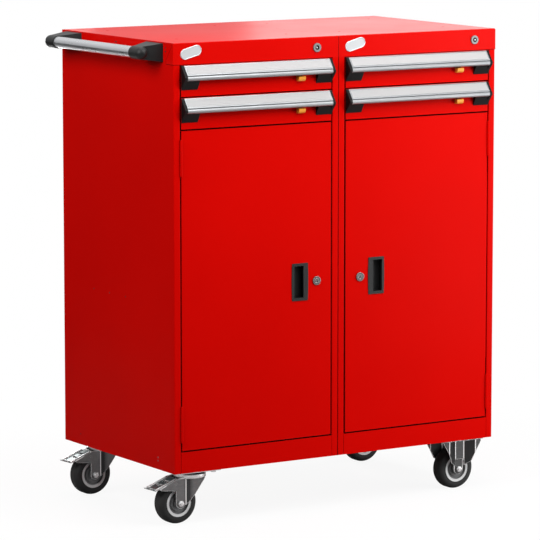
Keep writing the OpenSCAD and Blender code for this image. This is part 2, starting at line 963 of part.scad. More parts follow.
// Swivel fork: dished head that turns on the kingpin, and two cheeks trailing to the axle
module swivel_fork(end) {
    color(zinc)
        caster(-1, end)
            difference() {
                union() {
                    rotate_extrude()
                        polygon([
                            [king_r + run_fit, head_z], [head_r - 6, head_z], [head_r - 3, head_z - 3],
                            [head_r - 1.5, head_z - 3], [head_r, head_z - 1.5], [head_r, head_top - 1.5],
                            [head_r - 1.5, head_top], [head_r - 3, head_top],
                            [head_r - 3, head_z + 3.6], [king_r + run_fit, head_z + 3.6]
                        ]);
                    for (back = [0, 1])
                        mirror([0, back, 0])
                            intersection() {
                                along(0, fork_out)
                                    fork_cheek();
                                linear_extrude(plate_z)
                                    cheek_plan();
                            }
                }
                translate([-trail, 0, wheel_r])
                    bar_y(axle_r + run_fit, -2 * wheel_w, 2 * wheel_w);
                translate([pedal_x, 0, pedal_z])
                    bar_y(3 + run_fit, -stub_out - clear, stub_out + clear);
            }
}

// Side view of a swivel fork's cheek: leg down to the axle and skirt out under the pedal
module fork_cheek() {
    top = head_z + 1;
    leg = trail + cheek_r;
    polygon([
        [head_r - 8, top], [head_r - 10, top - 7], [head_r - 14, top - 13],
        [head_r + 2 - trail, wheel_r + 17], [head_r - 9 - trail, wheel_r + 5], [cheek_r + 4 - trail, wheel_r - 4.5],
        [-leg, wheel_r], [-leg, wheel_r + skirt_z], [7 - leg - skirt_l, wheel_r + skirt_z + 4],
        [-leg - skirt_l, wheel_r + skirt_z + 8], [-leg + 2, top - 3], [-leg + 20, top]
    ]);
    translate([-trail, wheel_r])
        circle(r = cheek_r);
}

// Plan of a cheek: it lies beside the wheel and slopes in to its front part
module cheek_plan() {
    bend = cheek_r + 4 - trail;
    front = bend + cheek_r;
    reach = head_r + trail + wheel_r + skirt_l;
    polygon([
        [-reach, fork_in], [bend, fork_in], [front, fork_in - cheek_step], [reach, fork_in - cheek_step],
        [reach, fork_out - cheek_step], [front, fork_out - cheek_step], [bend, fork_out], [-reach, fork_out]
    ]);
}

// Axle bolt with a hexagonal head and nut outside the fork
module axle_bolt() {
    translate([0, 0, wheel_r]) {
        bar_y(axle_r, -fork_out - 8, fork_out + 7);
        for (y = [-fork_out - 5, fork_out + seam])
            translate([0, y, 0])
                rotate([-90, 0, 0])
                    cylinder(r = axle_r * 1.85, h = 5 - seam, $fn = 6);
    }
}

module swivel_axle(end) {
    color(zinc)
        caster(-1, end)
            translate([-trail, 0, 0])
                axle_bolt();
}

// Brake pedal: sloped plate between the cheeks, turning on a stub at each side
module brake_pedal(end) {
    ear = (fork_in + wheel_w / 2) / 2;
    half = fork_in - 1.2;
    tray = pedal_tray - pedal_l;
    rim = 2.5;
    color(zinc)
        caster(-1, end)
            translate([pedal_x, 0, pedal_z]) {
                difference() {
                    along(-half, half)
                        polygon([
                            [6, 12], [tray + 8, -8], [tray, -10.5], [tray, -13], [tray + 8, -10.8], [5, 8.8]
                        ]);
                    for (x = [-16, -34])
                        translate([x, -half / 2, -20])
                            cube([5, half, 40]);
                }
                for (y = [-half, half - rim])
                    along(y, y + rim)
                        polygon([[0, 9.3], [tray, -11], [tray, rim - 10.5], [tray + 8, rim - 8], [0, 9.7 + rim]]);
                along(-half, half)
                    translate([tray, -11])
                        square([rim, rim + 0.5]);
                along(-half / 2.5, half / 2.5)
                    polygon([[tray + 1, -10.5], [-pedal_l, -6], [-pedal_l, -8.5], [tray + 1, -13]]);
                for (y = [-half, ear - 1])
                    along(y, y + half - ear + 1) {
                        circle(r = 6);
                        polygon([[-6, 0], [6, 0], [5, 11], [-12, 4.2]]);
                    }
                bar_y(3, -stub_out, -ear + 1);
                bar_y(3, ear - 1, stub_out);
            }
}

// Rigid forks: top plate and two legs, one on each side of the wheel
module rigid_forks() {
    color(zinc)
        for (end = [0, 1])
            caster(1, end)
                difference() {
                    union() {
                        caster_plate();
                        for (back = [0, 1])
                            mirror([0, back, 0])
                                rigid_leg();
                    }
                    translate([0, 0, wheel_r])
                        bar_y(axle_r + run_fit, -2 * wheel_w, 2 * wheel_w);
                }
}

// Leg of a rigid fork: a column whose sides slope out to lips, and a foot set in below it round the axle
module rigid_leg() {
    b = leg_w / 2;
    a = leg_lip_x;
    k = fork_t * tan(atan((leg_lip_y - leg_in) / leg_flare) / 2);
    leg_out = leg_in + fork_t;
    lip_out = leg_lip_y + fork_t;
    intersection() {
        translate([0, 0, wheel_r])
            linear_extrude(plate_z - wheel_r + 1)
                polygon([
                    [-a - leg_lip, leg_lip_y], [-a, leg_lip_y], [-b, leg_in], [b, leg_in],
                    [a, leg_lip_y], [a + leg_lip, leg_lip_y], [a + leg_lip, lip_out], [a - k, lip_out],
                    [b - k, leg_out], [k - b, leg_out], [k - a, lip_out], [-a - leg_lip, lip_out]
                ]);
        along(0, mount_w)
            difference() {
                leg_outline(a, a + leg_lip);
                translate([-b, 0])
                    square([leg_w, leg_z]);
            }
    }
    translate([-b, fork_in, leg_z])
        cube([leg_w, leg_out - fork_in, fork_t]);
    along(fork_in, fork_out) {
        translate([-leg_foot_r, wheel_r])
            square([2 * leg_foot_r, leg_z - wheel_r + fork_t]);
        translate([0, wheel_r])
            circle(r = leg_foot_r);
    }
}

// Front view of that leg above its foot, with half widths a at the lip's root and c at its end
module leg_outline(a, c) {
    polygon([
        [-c, plate_z + 1], [-c, plate_z - 7], [-a, plate_z - leg_neck], [9 - a, wheel_r + 20],
        [-leg_w / 2, wheel_r + 9], [leg_w / 2, wheel_r + 9], [a - 9, wheel_r + 20], [a, plate_z - leg_neck],
        [c, plate_z - 7], [c, plate_z + 1]
    ]);
}

// Bolts and nuts of the top plates, and the axle bolts of the rigid casters
module caster_bolts() {
    top = caster_h + base_t;
    color(zinc)
        for (end = [0, 1]) {
            for (side = [-1, 1])
                caster(side, end)
                    at_bolts() {
                        translate([0, 0, plate_z - 5.5])
                            cylinder(r = bolt_r, h = top - plate_z + 14);
                        translate([0, 0, plate_z - 5.5])
                            cylinder(r = bolt_head_r, h = 5.5, $fn = 6);
                        translate([0, 0, top])
                            cylinder(r = bolt_head_r, h = 6.5, $fn = 6);
                    }
            caster(1, end) axle_bolt();
        }
}

// Moves a turned shape onto an axle: side is -1 for swivel and 1 for rigid
module on_axle(side, end) {
    caster(side, end)
        translate([side < 0 ? -trail : 0, 0, wheel_r])
            rotate([-90, 0, 0])
                children();
}

module tyre(side, end) {
    half = wheel_w / 2;
    bore = hub_r + run_fit;
    color("#2e2e2e")
        on_axle(side, end)
            rotate_extrude($fn = 96)
                intersection() {
                    translate([bore, -half])
                        square([wheel_r - bore, wheel_w]);
                    union() {
                        translate([0, -half])
                            square([wheel_r - tread_r, wheel_w]);
                        translate([0, tread_r - half])
                            square([wheel_r, wheel_w - 2 * tread_r]);
                        for (y = [-1, 1])
                            translate([wheel_r - tread_r, y * (half - tread_r)])
                                circle(r = tread_r);
                    }
                }
}

// Hub with a long boss, a web with a raised ring on each face, and a broad rim under the tyre
module hub(side, end) {
    half = wheel_w / 2 - 1;
    boss = fork_in - clear;
    web = half - 5;
    web_in = axle_r + 5;
    web_w = hub_r - 8 - web_in;
    ring_in = web_in + 0.3 * web_w;
    ring_out = web_in + 0.75 * web_w;
    color("#9a9c9c")
        on_axle(side, end)
            rotate_extrude($fn = 96) {
                polygon([
                    [axle_r + run_fit, -boss], [web_in, -boss], [web_in, -web], [web_in + web_w, -web],
                    [hub_r - 6.5, -half], [hub_r, -half], [hub_r, half], [hub_r - 6.5, half],
                    [web_in + web_w, web], [web_in, web], [web_in, boss], [axle_r + run_fit, boss]
                ]);
                polygon([
                    [ring_in, -web], [ring_in + 1, -web - ring_h], [ring_out - 1, -web - ring_h], [ring_out, -web],
                    [ring_out, web], [ring_out - 1, web + ring_h], [ring_in + 1, web + ring_h], [ring_in, web]
                ]);
            }
}

handed(0) side_panel(true);  // left_outer_side
housing(0, true) side_panel(false);  // left_inner_side
housing(1) side_panel(false);  // right_inner_side
handed(1) side_panel(true);  // right_outer_side
back_panels();
housing(0) top_panel(0);  // left_top
housing(1) top_panel(1);  // right_top
housing(0) base_pan(0);  // left_base
housing(1) base_pan(1);  // right_base
drawer_dividers();
shelves();
slide_channels();
hinge_pins();
name_plates();
rail_lock_cases();
rail_plug(0);  // left_rail_plug
rail_plug(1);  // right_rail_plug
push_handle_tube();
push_handle_brackets();
door(0);  // left_door
door(1);  // right_door
door_pull(0);  // left_door_pull
door_pull(1);  // right_door_pull
door_lock_case(0);  // left_door_lock_case
door_lock_case(1);  // right_door_lock_case
door_plug(0);  // left_door_plug
door_plug(1);  // right_door_plug
drawer(0, 0);  // left_upper_drawer
drawer(0, 1);  // left_lower_drawer
drawer(1, 0);  // right_upper_drawer
drawer(1, 1);  // right_lower_drawer
drawer_handle(0, 0);  // left_upper_handle
drawer_handle(0, 1);  // left_lower_handle
drawer_handle(1, 0);  // right_upper_handle
drawer_handle(1, 1);  // right_lower_handle
end_caps(0, 0);  // left_upper_caps
end_caps(0, 1);  // left_lower_caps
end_caps(1, 0);  // right_upper_caps
end_caps(1, 1);  // right_lower_caps
latch(0, 0);  // left_upper_latch
latch(0, 1);  // left_lower_latch
latch(1, 0);  // right_upper_latch
latch(1, 1);  // right_lower_latch
swivel_plates();
rigid_forks();
caster_bolts();
swivel_fork(0);  // front_swivel_fork
swivel_fork(1);  // rear_swivel_fork
swivel_axle(0);  // front_swivel_axle
swivel_axle(1);  // rear_swivel_axle
brake_pedal(0);  // front_brake_pedal
brake_pedal(1);  // rear_brake_pedal
tyre(-1, 0);  // front_left_tyre
tyre(-1, 1);  // rear_left_tyre
tyre(1, 0);  // front_right_tyre
tyre(1, 1);  // rear_right_tyre
hub(-1, 0);  // front_left_hub
hub(-1, 1);  // rear_left_hub
hub(1, 0);  // front_right_hub
hub(1, 1);  // rear_right_hub
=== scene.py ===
"""Mobile drawer cabinet on casters: finishes, small fittings, light and camera.

All pieces are in metres in the frame of the solids: +Z up, the front faces -Y, the push handle is at -X.
"""
import math

import bmesh
import bpy
import numpy as np
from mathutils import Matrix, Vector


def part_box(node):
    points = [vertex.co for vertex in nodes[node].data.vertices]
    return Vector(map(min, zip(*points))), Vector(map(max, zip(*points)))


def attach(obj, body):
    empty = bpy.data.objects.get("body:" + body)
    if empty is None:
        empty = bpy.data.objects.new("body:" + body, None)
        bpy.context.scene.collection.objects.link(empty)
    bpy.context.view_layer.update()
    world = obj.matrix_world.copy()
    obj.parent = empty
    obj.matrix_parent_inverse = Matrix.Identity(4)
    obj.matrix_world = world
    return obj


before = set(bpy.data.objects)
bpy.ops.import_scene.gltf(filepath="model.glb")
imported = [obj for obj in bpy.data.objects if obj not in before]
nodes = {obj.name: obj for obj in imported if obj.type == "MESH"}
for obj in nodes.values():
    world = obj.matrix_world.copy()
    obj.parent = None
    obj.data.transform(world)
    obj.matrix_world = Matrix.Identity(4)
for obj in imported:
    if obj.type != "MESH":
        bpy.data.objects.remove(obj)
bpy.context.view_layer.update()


# Names and places that several sections share

SIDES = ("left", "right")
ENDS = ("front", "rear")
DRAWERS = [side + "_" + row for side in SIDES for row in ("upper", "lower")]
WHEELS = [end + "_" + side for end in ENDS for side in SIDES]
X, Y, Z = range(3)

# Front plane of housings, rails and doors, from a side that has no hinge knuckles standing out from it
front_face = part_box("left_inner_side")[0][Y]


def middle(node):
    """Centre of a solid's box."""
    low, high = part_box(node)
    return tuple((low[k] + high[k]) / 2 for k in range(3))


# Camera at the photograph's angle

PHOTO_AZIMUTH = -32.09
PHOTO_ELEVATION = 7.96
CAMERA_PLACE = (-4.64785, -7.41175, 1.7779)
CAMERA_LENS = 239.47
CAMERA_REACH = 60.0
SENSOR_WIDTH = 36.0


def place_camera():
    """Camera with the photograph's azimuth, elevation, distance and field, for a square image."""
    data = bpy.data.cameras.new("photo_camera")
    data.sensor_fit = "HORIZONTAL"
    data.sensor_width = SENSOR_WIDTH
    data.lens = CAMERA_LENS
    data.clip_end = CAMERA_REACH
    camera = bpy.data.objects.new("photo_camera", data)
    camera.location = CAMERA_PLACE
    camera.rotation_euler = (math.radians(90.0 - PHOTO_ELEVATION), 0.0, math.radians(PHOTO_AZIMUTH))
    bpy.context.scene.collection.objects.link(camera)
    bpy.context.scene.camera = camera


# Node helpers

def add(tree, kind, **values):
    """New node of a kind, with its properties set from keywords."""
    node = tree.nodes.new(kind)
    for key, value in values.items():
        setattr(node, key, value)
    return node


def put(tree, value, socket):
    """Links an output socket to a socket, or sets a plain value on it."""
    if isinstance(value, bpy.types.NodeSocket):
        tree.links.new(value, socket)
    else:
        socket.default_value = value


def maths(tree, operation, *values):
    """Output of a maths node, with its inputs given in order."""
    node = add(tree, "ShaderNodeMath", operation=operation)
    for value, socket in zip(values, node.inputs):
        put(tree, value, socket)
    return node.outputs[0]


def vector_maths(tree, operation, *values):
    """Outputs of a vector maths node, with its inputs given in order."""
    node = add(tree, "ShaderNodeVectorMath", operation=operation)
    for value, socket in zip(values, node.inputs):
        put(tree, value, socket)
    return node.outputs


def split(tree, vector):
    """Outputs for the X, Y and Z parts of a vector."""
    node = add(tree, "ShaderNodeSeparateXYZ")
    put(tree, vector, node.inputs[0])
    return node.outputs


def noise(tree, vector, scale, detail):
    """Output of a noise texture with a scale and a number of finer levels."""
    node = add(tree, "ShaderNodeTexNoise")
    put(tree, vector, node.inputs["Vector"])
    put(tree, scale, node.inputs["Scale"])
    put(tree, detail, node.inputs["Detail"])
    return node.outputs[0]


def blend_colour(tree, mask, first, second):
    """Output of a colour mix from first to second by a mask."""
    node = add(tree, "ShaderNodeMix", data_type="RGBA")
    put(tree, mask, node.inputs["Factor"])
    put(tree, first, node.inputs[6])
    put(tree, second, node.inputs[7])
    return node.outputs[2]


def blend_value(tree, mask, first, second):
    """Output of a number mix from first to second by a mask."""
    node = add(tree, "ShaderNodeMix", data_type="FLOAT")
    put(tree, mask, node.inputs["Factor"])
    put(tree, first, node.inputs[2])
    put(tree, second, node.inputs[3])
    return node.outputs[0]


def band(tree, value, reach, to=(0.0, 1.0)):
    """Value carried smoothly from the range reach to the range to, and held at the ends."""
    node = add(tree, "ShaderNodeMapRange", interpolation_type="SMOOTHSTEP")
    put(tree, value, node.inputs["Value"])
    for name, number in zip(("From Min", "From Max", "To Min", "To Max"), (*reach, *to)):
        put(tree, number, node.inputs[name])
    return node.outputs["Result"]


def near_line(tree, spot, line, core, peak):
    """Mask along a line: peak within the share core of its half width, and none beyond its half width.

    A line is an axis, a place on it and a half width, and spot holds the parts of the Object coordinates.
    """
    axis, place, half = line
    away = maths(tree, "ABSOLUTE", maths(tree, "SUBTRACT", spot[axis], place))
    return band(tree, away, (half * core, half), (peak, 0.0))


def radius_from(tree, place, centre):
    """Distance of a point from an axis along Y through centre, from Object coordinates."""
    shift = vector_maths(tree, "SUBTRACT", place, centre)["Vector"]
    flat = vector_maths(tree, "MULTIPLY", shift, (1.0, 0.0, 1.0))["Vector"]
    return vector_maths(tree, "LENGTH", flat)["Value"]


def shade(colour, factor=1.0):
    """Colour with its channels multiplied, as an RGBA tuple."""
    return tuple(min(1.0, c * factor) for c in colour) + (1.0,)


def grey(level):
    """Neutral RGBA tuple."""
    return (level, level, level, 1.0)


# Effects that several finishes share

def start_group(name, outputs, **inputs):
    """Shader group with a Vector input, further inputs with their defaults, and outputs.

    A tuple makes a vector input and a number a float one. Of the outputs only one named Normal is a vector.
    Gives the group, the sockets of its inputs and the sockets of its outputs.
    """
    tree = bpy.data.node_groups.new(name, "ShaderNodeTree")
    tree.interface.new_socket("Vector", in_out="INPUT", socket_type="NodeSocketVector")
    for label, value in inputs.items():
        kind = "NodeSocketVector" if isinstance(value, tuple) else "NodeSocketFloat"
        socket = tree.interface.new_socket(label, in_out="INPUT", socket_type=kind)
        socket.default_value = value
    for label in outputs:
        kind = "NodeSocketVector" if label == "Normal" else "NodeSocketFloat"
        tree.interface.new_socket(label, in_out="OUTPUT", socket_type=kind)
    return tree, tree.nodes.new("NodeGroupInput").outputs, tree.nodes.new("NodeGroupOutput").inputs


def build_skin_group():
    """Coated or moulded skin: Height is a fine peel plus a finer grain, Cloud a slow drift."""
    grain_share = 0.35
    tree, into, out = start_group("coated_skin", ["Height", "Cloud"], Peel=300.0, Grain=1400.0)
    peel = noise(tree, into["Vector"], into["Peel"], detail=2.0)
    grain = noise(tree, into["Vector"], into["Grain"], detail=3.0)
    cloud = noise(tree, into["Vector"], scale=2.6, detail=4.0)
    fine = maths(tree, "MULTIPLY", grain, grain_share)
    put(tree, maths(tree, "ADD", peel, fine), out["Height"])
    put(tree, band(tree, cloud, (0.15, 0.85)), out["Cloud"])
    return tree


def build_drawn_group():
    """Drawn or rolled metal: noise stretched by Stretch gives long Lines.

    Height follows the lines, and Stain drifts slowly.
    """
    tree, into, out = start_group("drawn_lines", ["Height", "Lines", "Stain"], Stretch=(4.0, 900.0, 900.0))
    stretched = vector_maths(tree, "MULTIPLY", into["Vector"], into["Stretch"])["Vector"]
    lines = noise(tree, stretched, scale=1.0, detail=4.0)
    stain = noise(tree, into["Vector"], scale=22.0, detail=5.0)
    put(tree, lines, out["Height"])
    put(tree, band(tree, lines, (0.3, 0.7)), out["Lines"])
    put(tree, band(tree, stain, (0.35, 0.7)), out["Stain"])
    return tree


def build_dust_group():
    """Dust that settles on faces that look up: Mask is the normal's rise times a patchy noise."""
    tree, into, out = start_group("settled_dust", ["Mask"])
    normal = add(tree, "ShaderNodeNewGeometry").outputs["Normal"]
    patch = noise(tree, into["Vector"], scale=9.0, detail=6.0)
    rise = band(tree, split(tree, normal)["Z"], (0.2, 1.0))
    patchy = band(tree, patch, (0.35, 0.75), (0.25, 1.0))
    put(tree, maths(tree, "MULTIPLY", rise, patchy), out["Mask"])
    return tree


def build_edge_group():
    """Edges: Normal is rounded over Radius, and Mask, a painted highlight along edges, is patchy and rises
    with the rounding.

    The mask is full where the cosine between the rounded and the plain normal has fallen to Turn.
    """
    flat_cosine = 0.99
    tree, into, out = start_group("edge_highlights", ["Mask", "Normal"], Radius=0.001, Turn=0.86)
    bevel = add(tree, "ShaderNodeBevel", samples=6)
    put(tree, into["Radius"], bevel.inputs["Radius"])
    rounded = bevel.outputs[0]
    put(tree, rounded, out["Normal"])
    plain = add(tree, "ShaderNodeNewGeometry").outputs["Normal"]
    cosine = vector_maths(tree, "DOT_PRODUCT", rounded, plain)["Value"]
    edge = band(tree, cosine, (into["Turn"], flat_cosine), (1.0, 0.0))
    patch_noise = noise(tree, into["Vector"], scale=60.0, detail=4.0)
    patchy = band(tree, patch_noise, (0.3, 0.6), (0.55, 1.0))
    put(tree, maths(tree, "MULTIPLY", edge, patchy), out["Mask"])
    return tree


def build_gap_group():
    """Painted shade in narrow gaps: Mask rises where nearby surfaces cover most of the sky above a point."""
    nearby = 0.018
    tree, into, out = start_group("gap_painted_shade", ["Mask"])
    cover = add(tree, "ShaderNodeAmbientOcclusion", samples=6)
    put(tree, nearby, cover.inputs["Distance"])
    deep = band(tree, cover.outputs["AO"], (0.18, 0.55), (1.0, 0.0))
    patch_noise = noise(tree, into["Vector"], scale=25.0, detail=3.0)
    patchy = band(tree, patch_noise, (0.3, 0.6), (0.85, 1.0))
    put(tree, maths(tree, "MULTIPLY", deep, patchy), out["Mask"])
    return tree


SKIN = build_skin_group()
DRAWN = build_drawn_group()
DUST = build_dust_group()
EDGES = build_edge_group()
GAPS = build_gap_group()


# Kinds of finish

COAT_SWAY = 0.07
COAT_RELIEF = 0.35
# Radius of the rounding under a coat's painted edge highlight
COAT_EDGE_RADIUS = 0.0009
# How dark the painted shade in a coat's narrow gaps is, as a share of its colour
GAP_SHADE_FACTOR = 0.02
DUST_GREY = (0.62, 0.58, 0.54)
DUST_ROUGHNESS = 0.6
STAIN_SHARE = 0.35
STAIN_SHADE = 0.86
STAIN_ROUGHNESS = 0.1
LINE_DEPTH = 0.00003
LINE_RELIEF = 0.4
# Colour and fade of the painted shade below the top of the swivel plates
UNDER_SHADE = (0.014, 0.014, 0.015)
UNDER_SHADE_FADE = 0.0004


def start_finish(name):
    """New material with only a Principled shader, its output and Object coordinates."""
    material = bpy.data.materials.new(name)
    material.use_nodes = True
    tree = material.node_tree
    tree.nodes.clear()
    shader = add(tree, "ShaderNodeBsdfPrincipled")
    out = add(tree, "ShaderNodeOutputMaterial")
    tree.links.new(shader.outputs[0], out.inputs[0])
    place = add(tree, "ShaderNodeTexCoord").outputs["Object"]
    return material, tree, shader, place


def use(tree, group, place, **values):
    """Outputs of a shared group that is placed in a material, with its inputs set."""
    node = add(tree, "ShaderNodeGroup", node_tree=group)
    put(tree, place, node.inputs["Vector"])
    for key, value in values.items():
        put(tree, value, node.inputs[key])
    return node.outputs


def bump(tree, shader, height, depth, strength, normal=None):
    """Relief of a height field, with its depth in metres, on the surface's own or a rounded normal."""
    node = add(tree, "ShaderNodeBump")
    put(tree, depth, node.inputs["Distance"])
    put(tree, strength, node.inputs["Strength"])
    put(tree, height, node.inputs["Height"])
    if normal:
        put(tree, normal, node.inputs["Normal"])
    put(tree, node.outputs[0], shader.inputs["Normal"])


def coated(name, colour, rough, peel=320.0, grain=1500.0, depth=0.00006, drift=0.06, dusty=0.0,
           specular=0.5, edge=None, gap_shade=False):
    """Paint or moulded plastic: colour that drifts a little, peel relief, dust on top, painted edge
    highlights.

    Edges get a painted highlight in the colour edge, and where gaps are asked for, the coat is painted nearly
    black deep in narrow gaps, as shade.
    """
    material, tree, shader, place = start_finish(name)
    put(tree, specular, shader.inputs["Specular IOR Level"])
    skin = use(tree, SKIN, place, Peel=peel, Grain=grain)
    tone = blend_colour(tree, skin["Cloud"], shade(colour, 1.0 - drift), shade(colour, 1.0 + drift))
    worn = maths(tree, "MULTIPLY_ADD", skin["Cloud"], COAT_SWAY, rough - COAT_SWAY / 2)
    if dusty:
        mask = maths(tree, "MULTIPLY", use(tree, DUST, place)["Mask"], dusty)
        tone = blend_colour(tree, mask, tone, shade(DUST_GREY))
        worn = maths(tree, "ADD", worn, maths(tree, "MULTIPLY", mask, DUST_ROUGHNESS))
    # Painted highlight along the edges
    if edge:
        edge_light = use(tree, EDGES, place, Radius=COAT_EDGE_RADIUS)
        tone = blend_colour(tree, edge_light["Mask"], tone, shade(edge))
    # Painted shade deep in narrow gaps
    if gap_shade:
        gap = use(tree, GAPS, place)
        tone = blend_colour(tree, gap["Mask"], tone, shade(colour, GAP_SHADE_FACTOR))
    put(tree, tone, shader.inputs["Base Color"])
    put(tree, worn, shader.inputs["Roughness"])
    bump(tree, shader, skin["Height"], depth, COAT_RELIEF)
    return material


def metal(name, colour, rough, stretch=(4.0, 900.0, 900.0), spread=0.1, metallic=1.0,
          edge=None, radius=0.0012, turn=0.86, scatter=0.25, highlight_lines=(),
          bend_shade=None, shade_lines=(), gap_shade=None, shade_below=None):
    """Bare metal with drawn lines: the lines and a slow stain change its tone, and the stain its gloss.

    Edges and the highlight lines are a painted highlight in the colour edge, with the metallic value scatter.
    Upright bends, where the surface normal turns towards X, and the shade lines are painted shade in the
    colour for bends. Lines are as in near_line. Narrow gaps get painted shade in their own colour, and below
    the given height the metal is painted dark, as shade.
    """
    material, tree, shader, place = start_finish(name)
    rounded = None
    drawn = use(tree, DRAWN, place, Stretch=stretch)
    tone = blend_colour(tree, drawn["Lines"], shade(colour, 1.0 - spread), shade(colour, 1.0 + spread * 0.5))
    stain = maths(tree, "MULTIPLY", drawn["Stain"], STAIN_SHARE)
    tone = blend_colour(tree, stain, tone, shade(colour, STAIN_SHADE))
    gloss = maths(tree, "MULTIPLY_ADD", drawn["Stain"], STAIN_ROUGHNESS, rough)
    spot = split(tree, place)
    # Painted shade on upright bends and along shade lines, standing in for dark reflections
    if bend_shade:
        normal = split(tree, place.node.outputs["Normal"])
        turned = band(tree, maths(tree, "ABSOLUTE", normal["X"]), (0.06, 0.18))
        upright = band(tree, maths(tree, "ABSOLUTE", normal["Z"]), (0.2, 0.5), (1.0, 0.0))
        shade_mask = maths(tree, "MULTIPLY", turned, upright)
        for line in shade_lines:
            shade_mask = maths(tree, "MAXIMUM", shade_mask, near_line(tree, spot, line, core=0.0, peak=0.9))
        tone = blend_colour(tree, shade_mask, tone, shade(bend_shade))
    # Painted highlight along edges and highlight lines; the rounded normal gives real shading
    if edge:
        edge_light = use(tree, EDGES, place, Radius=radius, Turn=turn)
        rounded, bright = edge_light["Normal"], edge_light["Mask"]
        for line in highlight_lines:
            bright = maths(tree, "MAXIMUM", bright, near_line(tree, spot, line, core=0.5, peak=0.85))
        tone = blend_colour(tree, bright, tone, shade(edge))
        metallic = blend_value(tree, bright, metallic, scatter)
    # Painted shade in narrow gaps
    if gap_shade:
        tone = blend_colour(tree, use(tree, GAPS, place)["Mask"], tone, shade(gap_shade))
    # Painted shade below a height, as under the plate above
    if shade_below:
        low_shade = band(tree, spot["Z"], (shade_below - UNDER_SHADE_FADE, shade_below), (1.0, 0.0))
        tone = blend_colour(tree, low_shade, tone, shade(UNDER_SHADE))
    put(tree, tone, shader.inputs["Base Color"])
    put(tree, metallic, shader.inputs["Metallic"])
    put(tree, gloss, shader.inputs["Roughness"])
    bump(tree, shader, drawn["Height"], LINE_DEPTH, LINE_RELIEF, rounded)
    return material


def hub_finish(name, centre):
    """Moulded grey hub: a pale ring at the rim, darker rings of painted shade and light towards the boss, by
    distance from the axle.
    """
    rim_start = (0.0264, 0.0274)
    ring_rate = 2400.0
    shaded_hollow = (0.11, 0.112, 0.115)
    lit_crest = (0.24, 0.245, 0.25)
    rim = (0.92, 0.925, 0.93)
    cloud_level = 0.2
    cloud_share = 0.2
    material, tree, shader, place = start_finish(name)
    skin = use(tree, SKIN, place, Peel=500.0, Grain=2200.0)
    radius = radius_from(tree, place, centre)
    ripple = maths(tree, "SINE", maths(tree, "MULTIPLY", radius, ring_rate))
    # Painted shade in the ring hollows and painted light on their crests
    dish = blend_colour(tree, band(tree, ripple, (-0.6, 0.6)), shade(shaded_hollow), shade(lit_crest))
    tone = blend_colour(tree, band(tree, radius, rim_start), dish, shade(rim))
    cloud = maths(tree, "MULTIPLY", skin["Cloud"], cloud_share)
    put(tree, blend_colour(tree, cloud, tone, grey(cloud_level)), shader.inputs["Base Color"])
    put(tree, band(tree, skin["Cloud"], (0.0, 1.0), (0.36, 0.46)), shader.inputs["Roughness"])
    bump(tree, shader, skin["Height"], depth=0.00004, strength=0.3)
    return material


def tyre_finish(name, centre):
    """Black rubber: dull tread that is a little dusty, smoother side walls with fine moulded rings."""
    tread_start = (0.0455, 0.0495)
    dust_share = 0.8
    ring_rate = 3600.0
    ring_share = 0.5
    dark_wall = (0.022, 0.022, 0.0225)
    light_wall = (0.031, 0.031, 0.0315)
    dusty_tread = (0.032, 0.0315, 0.031)
    material, tree, shader, place = start_finish(name)
    put(tree, 0.2, shader.inputs["Specular IOR Level"])
    skin = use(tree, SKIN, place, Peel=700.0, Grain=2600.0)
    radius = radius_from(tree, place, centre)
    tread = band(tree, radius, tread_start)
    wall = blend_colour(tree, skin["Cloud"], shade(dark_wall), shade(light_wall))
    dust = maths(tree, "MULTIPLY", tread, dust_share)
    put(tree, blend_colour(tree, dust, wall, shade(dusty_tread)), shader.inputs["Base Color"])
    put(tree, band(tree, tread, (0.0, 1.0), (0.52, 0.7)), shader.inputs["Roughness"])
    ripple = maths(tree, "SINE", maths(tree, "MULTIPLY", radius, ring_rate))
    relief = maths(tree, "MULTIPLY_ADD", ripple, ring_share, skin["Height"])
    bump(tree, shader, relief, depth=0.00008, strength=0.4)
    return material


def plug_finish(name, centre):
    """Black lock plug with a bright centre pin, by distance from the lock's axis."""
    pin_edge = (0.0019, 0.0022)
    black = (0.005, 0.005, 0.005)
    worn_black = (0.009, 0.009, 0.010)
    bright_pin = (0.6, 0.61, 0.62)
    material, tree, shader, place = start_finish(name)
    put(tree, 0.1, shader.inputs["Specular IOR Level"])
    skin = use(tree, SKIN, place, Peel=900.0, Grain=3000.0)
    pin = band(tree, radius_from(tree, place, centre), pin_edge, (1.0, 0.0))
    plug = blend_colour(tree, skin["Cloud"], shade(black), shade(worn_black))
    put(tree, blend_colour(tree, pin, plug, shade(bright_pin)), shader.inputs["Base Color"])
    put(tree, band(tree, skin["Cloud"], (0.0, 1.0), (0.42, 0.52)), shader.inputs["Roughness"])
    put(tree, pin, shader.inputs["Metallic"])
    bump(tree, shader, skin["Height"], depth=0.00003, strength=0.3)
    return material


# Finishes of the solids

RED = (0.70, 0.0022, 0.0008)
# Colour of the painted shade on fork bends and bands
SHADED_ZINC = (0.035, 0.036, 0.037)
MOULDED = dict(peel=900.0, grain=2600.0, depth=0.00005, drift=0.18)
ROLLED = dict(stretch=(60.0, 60.0, 300.0), spread=0.08)
TURNED = dict(stretch=(500.0, 30.0, 500.0), spread=0.06)
# Forks and pedals: painted highlights on their edges, with a rounded normal
FORK = dict(stretch=(120.0, 120.0, 260.0), metallic=0.9, edge=(0.94, 0.94, 0.94), radius=0.0024, turn=0.95,
            scatter=0.8)
PEDAL = dict(FORK, metallic=0.5, scatter=0.2)

# Swivel casters: the swivel axis from the axle, then lines on the fork from the swivel axis, for a painted
# highlight at the fold and painted shade in two bands
TRAIL = 0.040
SWIVEL_FOLD = -0.0250
SWIVEL_HOLLOW = -0.0170
SWIVEL_TAIL = 0.0310
HOLLOW_HALF = 0.0170
TAIL_HALF = 0.0150
# Painted highlight: a bright band below the top of a swivel fork's head
HEAD_DROP = 0.0035
HEAD_HALF = 0.0070
